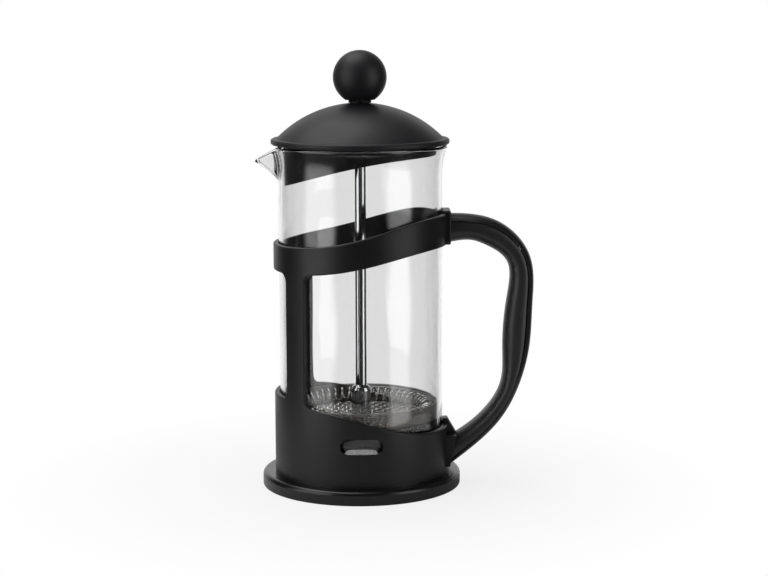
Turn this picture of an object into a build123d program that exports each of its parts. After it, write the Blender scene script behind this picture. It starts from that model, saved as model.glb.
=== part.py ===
from build123d import *
import os
from math import cos, pi, sin, sqrt

# French press for about three cups, standing on its foot at the origin.
# X runs from the spout (-X) to the handle (+X), Z is up, millimetres.

# Clearances
frame_gap = 0.35
rest_gap = 0.35
running_fit = 0.08
press_fit = 0.04
wiper_gap = 0.35
skirt_gap = 0.5
seam_gap = 0.15

# Glass beaker
beaker_radius = 35.0
beaker_wall = 2.0
beaker_floor = 3.0
beaker_height = 137.2
beaker_heel = 5.0
rim_flare = 2.6
flare_height = 16.0
flare_lean = 0.5
spout_reach = 17.6
spout_depth = 16.2
spout_wall = 1.6
spout_tip_radius = 2.6
spout_root_radius = 13.0
spout_root_inset = 15.0
spout_lip_fall = 0.447

# Foot
foot_overhang = 5.45
foot_height = 6.0
foot_plate = 2.6
foot_rim_wall = 3.2
foot_edge = 1.8
foot_sole_edge = 0.6
foot_screw_count = 3
foot_screw_circle = 24.0
sole_radius = 17.0
drain_radius = 16.0

# Frame: cup, two struts and the slanted band
frame_wall = 1.95
cup_floor = 3.2
cup_rim_high = 39.4
cup_rim_low = 26.2
cup_rim_bend = 4.0
spout_sill = 40.8
band_low = 94.2
band_rise = 10.4
band_height_spout = 11.3
band_height_handle = 13.4
band_bend = 5.0
strut_angle = 139.0
strut_width = 11.6
window_corner = 4.0
slot_length = 17.9
slot_height = 6.8
slot_level = 23.6
frame_edge = 0.6

# Pads that carry the handle
pad_depth = 1.1
pad_half_width = 7.9
pad_overhang = 1.5
pad_corner = 2.0
ear_height = 28.4
ear_half_width = 2.6
tail_pad_top = 21.6
tail_pad_bottom = 8.0
tail_pad_depth = 1.0
tail_pad_lean = 2.9

# Handle, measured outwards from the frame; shares are of its height above the table
handle_width = 15.0
handle_edge = 3.4
shoulder_edge = 0.5
handle_inset = 0.4
handle_root = 11.6
handle_reach = 36.95
side_share = 0.6803
shoulder_out = 23.2
shoulder_share = 0.9643
brow_out = 34.7
brow_share = 0.8537
heel_out = 32.5
heel_share = 0.4082
bend_out = 24.6
bend_share = 0.2577
tail_slope = 0.76
arch_out = 8.2
arch_rise = 0.3
crook_out = 21.7
crook_share = 0.8546
knuckle_thickness = 9.8
knuckle_share = 0.7653
finger_thickness = 12.1
finger_share = 0.6769
palm_thickness = 13.6
palm_share = 0.5272
heel_thickness = 8.6
wrist_out = 18.8
wrist_share = 0.3036
strip_depth = 2.6
strip_width = 13.4
strip_edge = 1.9

# Screws that hold the handle and the foot
screw_radius = 1.5
screw_head_radius = 2.8
screw_head_height = 1.7
screw_head_edge = 0.6
screw_recess = 0.3
screw_length = 8.4
tail_screw_drop = 4.0
foot_screw_length = 5.0

# Lid
lip_overhang = 0.4
lip_height = 2.5
lip_ledge = 2.4
lip_edge = 1.0
dome_height = 15.0
lid_wall = 1.8
crown_radius = 5.4
lid_boss_wall = 2.0
lid_boss_height = 6.0
insert_plate = 1.2
insert_ledge = 2.0
skirt_wall = 1.4
skirt_deep = 17.4
skirt_shallow = 3.9
skirt_middle = 7.1

# Guide bush in the middle of the lid
bush_wall = 1.3
bush_flange_radius = 4.85
bush_flange = 0.8
bush_tail = 2.4
clip_radius = 5.6
clip_thickness = 0.8

# Plunger
knob_radius = 11.4
knob_flat = 6.2
knob_thread_depth = 10.0
insert_wall = 1.4
rod_radius = 2.4
thread_radius = 2.0
hub_radius = 4.2
hub_height = 13.6
hub_dome = 2.6
filter_lift = 17.2

# Filter stack
plate_thickness = 0.6
spiral_margin = 5.0
screen_thickness = 0.35
screen_height = 7.2
screen_corner = 2.2
cross_thickness = 1.0
cross_margin = 2.4
cross_lip = 1.4
nut_radius = 4.4
nut_height = 3.6
nut_sides = 6
ring_holes = 14
ring_hole_radius = 1.1
ring_pitch = 3.8
ring_count = 5
ring_gain = 6
first_ring = 9.0
cross_hole_radius = 5.4
cross_hole_count = 6
cross_hole_circle = 17.0

# Coil spring that runs round the filter
spring_turns = 50
spring_wire = 0.9
spring_diameter = 6.2
spring_gap = 0.25
wire_sides = 6
turn_samples = 24

# Levels and radii that follow from the sizes above
frame_inner = beaker_radius + frame_gap
frame_outer = frame_inner + frame_wall
foot_radius = frame_outer + foot_overhang
cup_top = foot_height + cup_floor
beaker_base = cup_top + rest_gap
rim_level = beaker_base + beaker_height
bore_radius = beaker_radius - beaker_wall
lip_level = rim_level + rest_gap
lip_top = lip_level + lip_height
lip_radius = beaker_radius + rim_flare + lip_overhang
dome_base = lip_radius - lip_ledge
dome_radius = (dome_base**2 + dome_height**2) / (2 * dome_height)
dome_centre = lip_top + dome_height - dome_radius
crown_level = dome_centre + sqrt(dome_radius**2 - crown_radius**2)
bush_bore = rod_radius + running_fit
bush_radius = bush_bore + bush_wall
bush_hole = bush_radius + running_fit
flange_level = crown_level + rest_gap
knob_level = flange_level + bush_flange + rest_gap
knob_centre = knob_level + sqrt(knob_radius**2 - knob_flat**2)
bush_end = lip_level - bush_tail
filter_level = beaker_base + beaker_floor + filter_lift
screen_radius = bore_radius - wiper_gap
screen_top = filter_level - plate_thickness
screen_base = screen_top - screen_thickness
cross_base = screen_base - cross_thickness
nut_base = cross_base - nut_height
thread_hole = thread_radius + press_fit
skirt_radius = bore_radius - skirt_gap
pad_face = frame_outer + pad_depth
tail_low = frame_outer + tail_pad_depth
tail_high = tail_low + tail_pad_lean
handle_top = band_low + band_rise + band_height_handle - handle_inset
root_low = handle_top - handle_root
top_screw_level = handle_top - handle_root / 2
tail_screw_level = tail_pad_top - tail_screw_drop
screw_face = frame_inner + screw_recess
screw_shoulder = screw_face + screw_head_height
screw_tip = screw_face + screw_length
far = 4 * foot_radius
tiny = 1e-9
tiny_turn = 1e-4


def s_curve(x_from, z_from, x_bend, x_to, z_to):
    """Smooth step from one level to another, level at both ends."""
    middle = ((x_bend), (z_from + z_to) / 2)
    return Spline((x_from, z_from), middle, (x_to, z_to), tangents=((1, 0), (1, 0)))


def biarc_joint(start, start_way, end, end_way):
    """Point and direction where two tangent arcs from start to end meet."""
    span = end - start
    bend = 2 * (1 - start_way.dot(end_way))
    pull = 2 * span.dot(start_way + end_way)
    if bend < tiny:
        reach = span.dot(span) / pull
    else:
        reach = (sqrt(pull**2 + 4 * bend * span.dot(span)) - pull) / (2 * bend)
    first = start + start_way * reach
    second = end - end_way * reach
    return (first + second) / 2, (second - first).normalized()


def arc_run(points, ways):
    """Chain of tangent arcs through the points, two to each span, in the line being drawn."""
    for start, start_way, end, end_way in zip(points, ways, points[1:], ways[1:]):
        joint, joint_way = biarc_joint(start, start_way, end, end_way)
        TangentArc(start, joint, tangent=start_way)
        TangentArc(joint, end, tangent=joint_way)


# Foot: a round plate on a rim, with a dished sole in the middle
with BuildPart() as foot:
    with BuildSketch(Plane.XZ):
        with BuildLine():
            Polyline(
                (0, 0),
                (sole_radius, 0),
                (sole_radius, foot_height - foot_plate),
                (foot_radius - foot_rim_wall, foot_height - foot_plate),
                (foot_radius - foot_rim_wall, 0),
                (foot_radius, 0),
                (foot_radius, foot_height),
                (sole_radius - foot_plate, foot_height),
                (sole_radius - foot_plate, foot_plate),
                (0, foot_plate),
                close=True,
            )
        make_face()
    revolve(axis=Axis.Z)
    foot_rings = foot.edges().filter_by(GeomType.CIRCLE).group_by(Axis.Z)
    fillet(foot_rings[-1].sort_by(SortBy.RADIUS)[-1], foot_edge)
    foot_rings = foot.edges().filter_by(GeomType.CIRCLE).group_by(Axis.Z)
    fillet(foot_rings[0].sort_by(SortBy.RADIUS)[-1], foot_sole_edge)
    with Locations((0, 0, foot_height)):
        with PolarLocations(foot_screw_circle, foot_screw_count):
            Hole(screw_radius + running_fit)

# Screws under the foot
with BuildPart() as foot_screws:
    with BuildSketch(Plane.XY.offset(foot_height - foot_plate)):
        with PolarLocations(foot_screw_circle, foot_screw_count):
            Circle(screw_radius)
    extrude(amount=foot_screw_length)
    with BuildSketch(Plane.XY.offset(foot_height - foot_plate)):
        with PolarLocations(foot_screw_circle, foot_screw_count):
            Circle(screw_head_radius)
    extrude(amount=-screw_head_height)
    fillet(foot_screws.edges().filter_by(GeomType.CIRCLE).group_by(Axis.Z)[0], screw_head_edge)

# Windows of the frame: one round the handle side and one under the spout
with BuildPart() as struts:
    for side in (1, -1):
        with BuildSketch(Plane.XY.rotated((0, 0, side * strut_angle))):
            with Locations((foot_radius, 0)):
                Rectangle(2 * foot_radius, strut_width)
        extrude(amount=far)

with BuildPart() as window_room:
    with BuildSketch(Plane.XZ):
        with BuildLine():
            floor_line = s_curve(-frame_outer, cup_rim_high, cup_rim_bend, frame_outer, cup_rim_low)
            roof_line = s_curve(-frame_outer, band_low, band_bend, frame_outer, band_low + band_rise)
            Polyline(floor_line @ 0, (-far, cup_rim_high), (-far, band_low), roof_line @ 0)
            Polyline(roof_line @ 1, (far, band_low + band_rise), (far, cup_rim_low), floor_line @ 1)
        make_face()
    extrude(amount=foot_radius, both=True)
    add(struts.part, mode=Mode.SUBTRACT)

with BuildPart() as spout_room:
    with BuildSketch(Plane.XZ):
        with Locations((-foot_radius, (spout_sill + band_low) / 2)):
            Rectangle(2 * foot_radius, band_low - spout_sill)
    extrude(amount=foot_radius, both=True)
    add(struts.part, mode=Mode.SUBTRACT)

def on_skin(point):
    """Whether a point lies on the frame's outer face."""
    return abs(Vector(point.X, point.Y).length - frame_outer) < seam_gap


# Frame: cup with a floor, two struts and the slanted band
with BuildPart() as frame:
    with BuildSketch(Plane.XZ):
        with BuildLine():
            Polyline(
                (drain_radius, foot_height),
                (frame_outer, foot_height),
                (frame_outer, band_low + band_rise + band_height_handle),
                (frame_inner, band_low + band_rise + band_height_handle),
                (frame_inner, cup_top),
                (drain_radius, cup_top),
                close=True,
            )
        make_face()
    revolve(axis=Axis.Z)
    with BuildSketch(Plane.XZ):
        with BuildLine():
            band_top = band_low + band_height_spout
            top_line = s_curve(-frame_outer, band_top, band_bend, frame_outer,
                               band_low + band_rise + band_height_handle)
            Polyline(top_line @ 1, (far, far), (-far, far), (-far, band_top), top_line @ 0)
        make_face()
    extrude(amount=far, both=True, mode=Mode.SUBTRACT)
    add(window_room.solids().sort_by(Axis.X)[-1], mode=Mode.SUBTRACT)
    add(spout_room.solids().sort_by(Axis.X)[0], mode=Mode.SUBTRACT)
    window_corners = frame.edges().filter_by(lambda edge: edge.length < 2 * frame_wall)
    fillet(window_corners, window_corner)
    # Soft outer edges all round the openings and along the band
    skin_edges = frame.edges().filter_by(lambda edge: (edge @ 0.5).Z > foot_height and on_skin(edge @ 0.5))
    fillet(skin_edges, frame_edge)
    with BuildSketch(Plane.XZ.offset(-far)):
        with Locations((0, slot_level)):
            SlotOverall(slot_length, slot_height)
    extrude(amount=2 * far, mode=Mode.SUBTRACT)
    # Pad on the band for the upper end of the handle
    with BuildSketch(Plane.YZ.offset(drain_radius)):
        with Locations((0, (handle_top + root_low) / 2)):
            RectangleRounded(2 * pad_half_width, handle_root + 2 * pad_overhang, pad_corner)
    extrude(amount=pad_face - drain_radius)
    # Wedge on the cup for the lower end, with an ear above it
    with BuildSketch(Plane.XZ):
        with BuildLine():
            Polyline(
                (drain_radius, tail_pad_bottom),
                (tail_low, tail_pad_bottom),
                (tail_high, tail_pad_top),
                (drain_radius, tail_pad_top),
                close=True,
            )
        make_face()
    extrude(amount=pad_half_width, both=True)
    with BuildSketch(Plane.XZ):
        with BuildLine():
            Polyline(
                (drain_radius, tail_pad_top),
                (tail_high, tail_pad_top),
                (frame_outer, ear_height),
                (drain_radius, ear_height),
                close=True,
            )
        make_face()
    extrude(amount=ear_half_width, both=True)
    # Soft edges on the two pads
    pad_edges = frame.edges().filter_by(lambda edge: (edge @ 0.5).X > pad_face - seam_gap)
    fillet(pad_edges, frame_edge)
    # Room for the beaker
    with BuildSketch(Plane.XY.offset(cup_top)):
        Circle(frame_inner)
    extrude(amount=far, mode=Mode.SUBTRACT)
    # Seats and holes of the two handle screws
    for level in (top_screw_level, tail_screw_level):
        with BuildSketch(Plane.YZ.offset(drain_radius)):
            with Locations((0, level)):
                Circle(screw_head_radius + seam_gap)
        extrude(amount=screw_shoulder - drain_radius, mode=Mode.SUBTRACT)
        with BuildSketch(Plane.YZ.offset(drain_radius)):
            with Locations((0, level)):
                Circle(screw_radius + press_fit)
        extrude(amount=far, mode=Mode.SUBTRACT)
    # Pilot holes for the screws that come up through the foot
    with BuildSketch(Plane.XY.offset(foot_height)):
        with PolarLocations(foot_screw_circle, foot_screw_count):
            Circle(screw_radius + press_fit)
    extrude(amount=foot_screw_length - foot_plate + seam_gap, mode=Mode.SUBTRACT)

# Handle: points along its back and along its grip, in the plane of symmetry
back_points = [
    Vector(pad_face, handle_top),
    Vector(frame_outer + shoulder_out, handle_top * shoulder_share),
    Vector(frame_outer + brow_out, handle_top * brow_share),
    Vector(frame_outer + handle_reach, handle_top * side_share),
    Vector(frame_outer + heel_out, handle_top * heel_share),
    Vector(frame_outer + bend_out, handle_top * bend_share),
    Vector(tail_low, tail_pad_bottom),
]
grip_points = [
    Vector(pad_face, root_low),
    Vector(frame_outer + arch_out, root_low + arch_rise),
    Vector(frame_outer + crook_out, handle_top * crook_share),
    Vector(frame_outer + handle_reach - knuckle_thickness, handle_top * knuckle_share),
    Vector(frame_outer + handle_reach - finger_thickness, handle_top * finger_share),
    Vector(frame_outer + handle_reach - palm_thickness, handle_top * palm_share),
    Vector(frame_outer + heel_out - heel_thickness, handle_top * heel_share),
    Vector(frame_outer + wrist_out, handle_top * wrist_share),
    Vector(tail_high, tail_pad_top),
]
back_guide = Spline(*back_points, tangents=((1, 0), (-1, -tail_slope)))
grip_guide = Spline(*grip_points)
back_ways = [back_guide % back_guide.param_at_point(point) for point in back_points]
grip_ways = [grip_guide % grip_guide.param_at_point(point) for point in grip_points]
tail_face = Vector(tail_pad_lean, tail_pad_top - tail_pad_bottom).normalized()


def seam_points(depth):
    """Points at a steady depth under the back of the handle, the last on its lower end face."""
    inward = [Vector(way.Y, -way.X) for way in back_ways]
    points = [point + normal * depth for point, normal in zip(back_points, inward)]
    points[-1] = back_points[-1] + tail_face * (depth / tail_face.dot(inward[-1]))
    return points


def edges_along(guide, edges, reach):
    """Long edges of the handle that run within reach of a guide curve."""
    arcs = edges.filter_by(GeomType.CIRCLE)
    return [arc for arc in arcs if guide.distance_to(Vector((arc @ 0.5).X, (arc @ 0.5).Z)) < reach]


# Strip along the back of the handle
strip_seam = seam_points(strip_depth)
with BuildPart() as handle_strip:
    with BuildSketch(Plane.XZ.offset(-strip_width / 2)):
        with BuildLine():
            arc_run(back_points, back_ways)
            arc_run(strip_seam, back_ways)
            Line(back_points[0], strip_seam[0])
            Line(back_points[-1], strip_seam[-1])
        make_face()
    extrude(amount=strip_width)
    fillet(edges_along(back_guide, handle_strip.edges(), strip_depth / 2), strip_edge)

# Grip of the handle, rounded along its edges, with holes for its screws
grip_seam = seam_points(strip_depth + seam_gap)
with BuildPart() as handle:
    with BuildSketch(Plane.XZ.offset(-handle_width / 2)):
        with BuildLine():
            arc_run(grip_points, grip_ways)
            arc_run(grip_seam, back_ways)
            Line(grip_points[0], grip_seam[0])
            Line(grip_points[-1], grip_seam[-1])
        make_face()
    extrude(amount=handle_width)
    fillet(edges_along(grip_guide, handle.edges(), strip_depth), handle_edge)
    fillet(edges_along(back_guide, handle.edges(), strip_depth + 2 * seam_gap), shoulder_edge)
    for level in (top_screw_level, tail_screw_level):
        with BuildSketch(Plane.YZ.offset(drain_radius)):
            with Locations((0, level)):
                Circle(screw_radius + press_fit)
        extrude(amount=screw_tip + seam_gap - drain_radius, mode=Mode.SUBTRACT)

# The two screws that hold the handle, put in from inside the frame
with BuildPart() as handle_screws:
    for level in (top_screw_level, tail_screw_level):
        with BuildSketch(Plane.YZ.offset(screw_face)):
            with Locations((0, level)):
                Circle(screw_head_radius)
        extrude(amount=screw_head_height)
        with BuildSketch(Plane.YZ.offset(screw_shoulder)):
            with Locations((0, level)):
                Circle(screw_radius)
        extrude(amount=screw_tip - screw_shoulder)

# Beaker: blown glass with a flared rim and a pulled spout
def glass_outline(inset, floor, top):
    """Half outline of the beaker's body, drawn inset from the outer face."""
    wall = beaker_radius - inset
    heel = beaker_heel - inset
    bend = top - flare_height
    lip = wall + rim_flare
    Line((0, floor), (wall - heel, floor))
    TangentArc((wall - heel, floor), (wall, floor + heel), tangent=(1, 0))
    Line((wall, floor + heel), (wall, bend))
    Spline((wall, bend), (lip, top), tangents=((0, 1), (flare_lean, 1)))
    Polyline((lip, top), (0, top), (0, floor))


def spout_section(inset, fall):
    """Tear-shaped section of the spout, drawn in towards the wall by fall."""
    tip = beaker_radius + spout_reach * (1 - fall) - spout_tip_radius * fall
    with Locations((-(beaker_radius - spout_root_inset), 0)):
        Circle(spout_root_radius - inset)
    with Locations((-(tip - spout_tip_radius), 0)):
        Circle(spout_tip_radius - inset)
    make_hull()


with BuildPart() as beaker:
    with BuildSketch(Plane.XZ):
        with BuildLine():
            glass_outline(0, beaker_base, rim_level)
        make_face()
    revolve(axis=Axis.Z)
    with BuildSketch(Plane.XY.offset(rim_level)):
        spout_section(0, 0)
    with BuildSketch(Plane.XY.offset(rim_level - spout_depth)):
        spout_section(0, 1)
    loft()
    with BuildSketch(Plane.XZ):
        with BuildLine():
            glass_outline(beaker_wall, beaker_base + beaker_floor, rim_level)
        make_face()
    revolve(axis=Axis.Z, mode=Mode.SUBTRACT)
    with BuildSketch(Plane.XY.offset(rim_level)):
        spout_section(spout_wall, 0)
    with BuildSketch(Plane.XY.offset(rim_level - spout_depth)):
        spout_section(spout_wall, 1)
    loft(mode=Mode.SUBTRACT)
    # The lip of the spout falls away towards its tip
    with BuildSketch(Plane.XZ):
        with BuildLine():
            lip_start = bore_radius
            lip_run = spout_reach + beaker_wall
            Polyline(
                (-lip_start, rim_level),
                (-lip_start - lip_run, rim_level - lip_run * spout_lip_fall),
                (-lip_start - lip_run, rim_level + lip_run),
                (-lip_start, rim_level + lip_run),
                close=True,
            )
        make_face()
    extrude(amount=beaker_radius, both=True, mode=Mode.SUBTRACT)

# Lid: a domed cap with a turned lip
inner_dome = dome_radius - lid_wall
boss_radius = bush_hole + lid_boss_wall
seat_radius = skirt_radius + insert_ledge
seat_level = lip_level + insert_plate
boss_level = crown_level - lid_boss_height


def dome_level(radius, span):
    """Height of a dome of the given radius of curvature at a distance from the axis."""
    return dome_centre + sqrt(radius**2 - span**2)


hollow_radius = skirt_radius - skirt_wall
with BuildPart() as lid_cap:
    with BuildSketch(Plane.XZ):
        with BuildLine():
            outer_dome = RadiusArc((crown_radius, crown_level), (dome_base, lip_top), dome_radius)
            Polyline(
                (dome_base, lip_top),
                (lip_radius, lip_top),
                (lip_radius, lip_level),
                (seat_radius + seam_gap, lip_level),
                (seat_radius + seam_gap, seat_level),
                (hollow_radius, seat_level),
                (hollow_radius, dome_level(inner_dome, hollow_radius)),
            )
            RadiusArc(
                (boss_radius, dome_level(inner_dome, boss_radius)),
                (hollow_radius, dome_level(inner_dome, hollow_radius)),
                inner_dome,
            )
            Polyline(
                (boss_radius, dome_level(inner_dome, boss_radius)),
                (boss_radius, boss_level),
                (bush_hole, boss_level),
                (bush_hole, crown_level),
                (crown_radius, crown_level),
            )
        make_face()
    revolve(axis=Axis.Z)
    lip_edges = lid_cap.edges().filter_by(GeomType.CIRCLE).filter_by(Plane.XY).sort_by(SortBy.RADIUS)[-2:]
    fillet(lip_edges, lip_edge)

# Insert under the cap, with a skirt that is deep at one side for shutting the spout
with BuildPart() as lid_insert:
    with BuildSketch(Plane.XZ):
        with BuildLine():
            Polyline(
                (bush_hole, seat_level),
                (seat_radius, seat_level),
                (seat_radius, lip_level),
                (skirt_radius, lip_level),
                (skirt_radius, lip_level - skirt_deep),
                (hollow_radius, lip_level - skirt_deep),
                (hollow_radius, lip_level),
                (bush_hole, lip_level),
                close=True,
            )
        make_face()
    revolve(axis=Axis.Z)
    with BuildSketch(Plane.XZ):
        with BuildLine():
            deep_level = lip_level - skirt_deep
            hem = ThreePointArc(
                (-skirt_radius, deep_level),
                (0, lip_level - skirt_middle),
                (skirt_radius, lip_level - skirt_shallow),
            )
            below = deep_level - skirt_deep
            Polyline(hem @ 1, (skirt_radius, below), (-skirt_radius, below), hem @ 0)
        make_face()
    extrude(amount=beaker_radius, both=True, mode=Mode.SUBTRACT)

# Guide bush in the lid, with its flange on the crown
with BuildPart() as lid_bush:
    with BuildSketch(Plane.XZ):
        with BuildLine():
            Polyline(
                (bush_bore, bush_end),
                (bush_radius, bush_end),
                (bush_radius, flange_level),
                (bush_flange_radius, flange_level),
                (bush_flange_radius, flange_level + bush_flange),
                (bush_bore, flange_level + bush_flange),
                close=True,
            )
        make_face()
    revolve(axis=Axis.Z)

# Spring washer that keeps the bush in the lid
with BuildPart() as bush_clip:
    with BuildSketch(Plane.XY.offset(lip_level - rest_gap - clip_thickness)):
        Circle(clip_radius)
        Circle(bush_radius + press_fit, mode=Mode.SUBTRACT)
    extrude(amount=clip_thickness)

# Knob: a ball with a flat seat and a bore for its threaded insert
knob_bore = thread_hole + insert_wall
with BuildPart() as knob:
    with BuildSketch(Plane.XZ):
        with BuildLine():
            ThreePointArc(
                (knob_flat, knob_level),
                (knob_radius, knob_centre),
                (0, knob_centre + knob_radius),
            )
            Polyline((0, knob_centre + knob_radius), (0, knob_level), (knob_flat, knob_level))
        make_face()
    revolve(axis=Axis.Z)
    with BuildSketch(Plane.XY.offset(knob_level)):
        Circle(knob_bore + press_fit)
    extrude(amount=knob_thread_depth, mode=Mode.SUBTRACT)

with BuildPart() as knob_insert:
    with BuildSketch(Plane.XY.offset(knob_level)):
        Circle(knob_bore)
        Circle(thread_hole, mode=Mode.SUBTRACT)
    extrude(amount=knob_thread_depth)

# Plunger rod with a thread at each end
with BuildPart() as rod:
    with BuildSketch(Plane.XY.offset(filter_level)):
        Circle(rod_radius)
    extrude(amount=knob_level - filter_level)
    with BuildSketch(Plane.XY.offset(nut_base)):
        Circle(thread_radius)
    extrude(amount=knob_level + knob_thread_depth - nut_base)

# Hub with a domed top, fixed to the lower end of the rod
with BuildPart() as rod_hub:
    with BuildSketch(Plane.XY.offset(filter_level)):
        Circle(hub_radius)
    extrude(amount=hub_height)
    fillet(rod_hub.edges().group_by(Axis.Z)[-1], hub_dome)
    with BuildSketch(Plane.XY.offset(filter_level)):
        Circle(rod_radius + press_fit)
    extrude(amount=hub_height, mode=Mode.SUBTRACT)

# Spiral plate: thin perforated disc inside the coil
spiral_radius = screen_radius - screen_thickness - spiral_margin
with BuildPart() as spiral_plate:
    with BuildSketch(Plane.XY.offset(screen_top)):
        Circle(spiral_radius)
        Circle(thread_hole, mode=Mode.SUBTRACT)
        for ring in range(ring_count):
            with PolarLocations(first_ring + ring * ring_pitch, ring_holes + ring * ring_gain):
                Circle(ring_hole_radius, mode=Mode.SUBTRACT)
    extrude(amount=plate_thickness)

# Fine screen: a shallow cup whose edge turns up round the coil
with BuildPart() as mesh_screen:
    with BuildSketch(Plane.XZ):
        inner_wall = screen_radius - screen_thickness
        rim_top = filter_level + screen_height
        with BuildLine():
            Line((thread_hole, screen_base), (screen_radius - screen_corner, screen_base))
            TangentArc(
                (screen_radius - screen_corner, screen_base),
                (screen_radius, screen_base + screen_corner),
                tangent=(1, 0),
            )
            Polyline(
                (screen_radius, screen_base + screen_corner),
                (screen_radius, rim_top),
                (inner_wall, rim_top),
                (inner_wall, screen_base + screen_corner),
            )
            TangentArc(
                (inner_wall, screen_base + screen_corner),
                (screen_radius - screen_corner, screen_top),
                tangent=(0, -1),
            )
            Polyline(
                (screen_radius - screen_corner, screen_top),
                (thread_hole, screen_top),
                (thread_hole, screen_base),
            )
        make_face()
    revolve(axis=Axis.Z)

# Cross plate: stiff disc with large holes and a turned-down edge
cross_radius = screen_radius - cross_margin
with BuildPart() as cross_plate:
    with BuildSketch(Plane.XZ):
        with BuildLine():
            Polyline(
                (thread_hole, screen_base),
                (cross_radius, screen_base),
                (cross_radius, cross_base - cross_lip),
                (cross_radius - cross_thickness, cross_base - cross_lip),
                (cross_radius - cross_thickness, cross_base),
                (thread_hole, cross_base),
                close=True,
            )
        make_face()
    revolve(axis=Axis.Z)
    with BuildSketch(Plane.XY.offset(cross_base)):
        with PolarLocations(cross_hole_circle, cross_hole_count):
            Circle(cross_hole_radius)
    extrude(amount=cross_thickness, mode=Mode.SUBTRACT)

# Nut that clamps the stack to the rod
with BuildPart() as cross_nut:
    with BuildSketch(Plane.XY.offset(nut_base)):
        RegularPolygon(nut_radius, nut_sides)
        Circle(thread_hole, mode=Mode.SUBTRACT)
    extrude(amount=nut_height)

# Coil spring: a helix wound round a ring, open by one pitch where its ends meet
coil_radius = (spring_diameter - spring_wire) / 2
ring_radius = screen_radius - screen_thickness - spring_gap - spring_diameter / 2
ring_level = filter_level + spring_gap + spring_diameter / 2
ring_sweep = 2 * pi * (spring_turns - 1) / spring_turns


def coil_point(turn):
    """Centre of the wire after a number of turns."""
    round_ring = ring_sweep * turn / spring_turns
    round_wire = 2 * pi * turn
    radius = ring_radius + coil_radius * cos(round_wire)
    level = ring_level + coil_radius * sin(round_wire)
    return Vector(radius * cos(round_ring), radius * sin(round_ring), level)


def coil_way(turn):
    """Direction of the wire after a number of turns."""
    return (coil_point(turn + tiny_turn) - coil_point(turn - tiny_turn)).normalized()


half_turns = [step / 2 for step in range(2 * spring_turns + 1)]
coil_points = [coil_point(turn) for turn in half_turns]
coil_ways = [coil_way(turn) for turn in half_turns]
with BuildPart() as spiral_spring:
    with BuildLine() as coil_path:
        Line(coil_points[0] - coil_ways[0] * spring_wire, coil_points[0])
        arc_run(coil_points, coil_ways)
        Line(coil_points[-1], coil_points[-1] + coil_ways[-1] * spring_wire)
    with BuildSketch(Plane(coil_points[0] - coil_ways[0] * spring_wire, z_dir=coil_ways[0])):
        RegularPolygon(spring_wire / 2, wire_sides)
    sweep(path=coil_path.wires()[0], clean=False)

# Least gap between neighbouring turns, measured on points of the wire
samples = [coil_point(step / turn_samples) for step in range(spring_turns * turn_samples + 1)]
half = turn_samples // 2
spacing = min(
    (one - other).length
    for place, one in enumerate(samples)
    for other in samples[place + half:place + 3 * half]
)
closing = (samples[0] - samples[-1]).length
print(f"spring: least gap to itself {min(spacing, closing) - spring_wire:.2f} mm")

pieces = {
    "foot": foot,
    "foot_screws": foot_screws,
    "frame": frame,
    "handle": handle,
    "handle_strip": handle_strip,
    "handle_screws": handle_screws,
    "beaker": beaker,
    "lid_cap": lid_cap,
    "lid_insert": lid_insert,
    "lid_bush": lid_bush,
    "bush_clip": bush_clip,
    "knob": knob,
    "knob_insert": knob_insert,
    "rod": rod,
    "rod_hub": rod_hub,
    "spiral_plate": spiral_plate,
    "spiral_spring": spiral_spring,
    "mesh_screen": mesh_screen,
    "cross_plate": cross_plate,
    "cross_nut": cross_nut,
}
os.makedirs("parts", exist_ok=True)
for label, piece in pieces.items():
    piece.part.label = label
    export_step(piece.part, f"parts/{label}.step")
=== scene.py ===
"""Looks of a small french press: a black frame, a blown beaker, a domed lid and a coil-edged plunger."""

import functools
import logging
import math
from dataclasses import dataclass, field
from enum import Enum
from typing import Any, Protocol

import bmesh
import bpy
import numpy as np
from mathutils import Matrix, Vector


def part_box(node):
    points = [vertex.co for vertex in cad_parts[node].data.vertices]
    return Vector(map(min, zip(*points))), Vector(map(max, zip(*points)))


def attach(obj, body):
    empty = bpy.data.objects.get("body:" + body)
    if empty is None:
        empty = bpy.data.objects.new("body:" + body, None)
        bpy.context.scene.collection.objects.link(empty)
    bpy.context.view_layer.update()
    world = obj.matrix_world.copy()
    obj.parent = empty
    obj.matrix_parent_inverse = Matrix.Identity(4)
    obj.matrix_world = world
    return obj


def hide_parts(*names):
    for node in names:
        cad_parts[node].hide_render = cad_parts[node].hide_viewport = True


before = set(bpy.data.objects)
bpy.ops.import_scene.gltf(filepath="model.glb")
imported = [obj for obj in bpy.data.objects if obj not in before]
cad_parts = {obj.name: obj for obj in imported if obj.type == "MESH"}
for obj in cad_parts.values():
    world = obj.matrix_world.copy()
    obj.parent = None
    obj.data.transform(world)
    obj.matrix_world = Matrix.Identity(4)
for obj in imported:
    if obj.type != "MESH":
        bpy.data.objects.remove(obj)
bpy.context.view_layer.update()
MM = 0.001
TURN = 2 * math.pi
UP = np.array([0.0, 0.0, 1.0])
# Length in millimetres that counts as nothing
TINY = 1e-6
# Points closer than this, in metres, become one
MERGE = 1e-7
# Nearly all values of a noise pattern lie between these two
NOISE_LOW = 0.3
NOISE_HIGH = 0.7
# A lamp's face runs from zero to one both ways, and this is its middle
FACE_MIDDLE = 0.5
# A count of bounces below this is none
NO_BOUNCE = 0.5
log = logging.getLogger("french_press")


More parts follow.
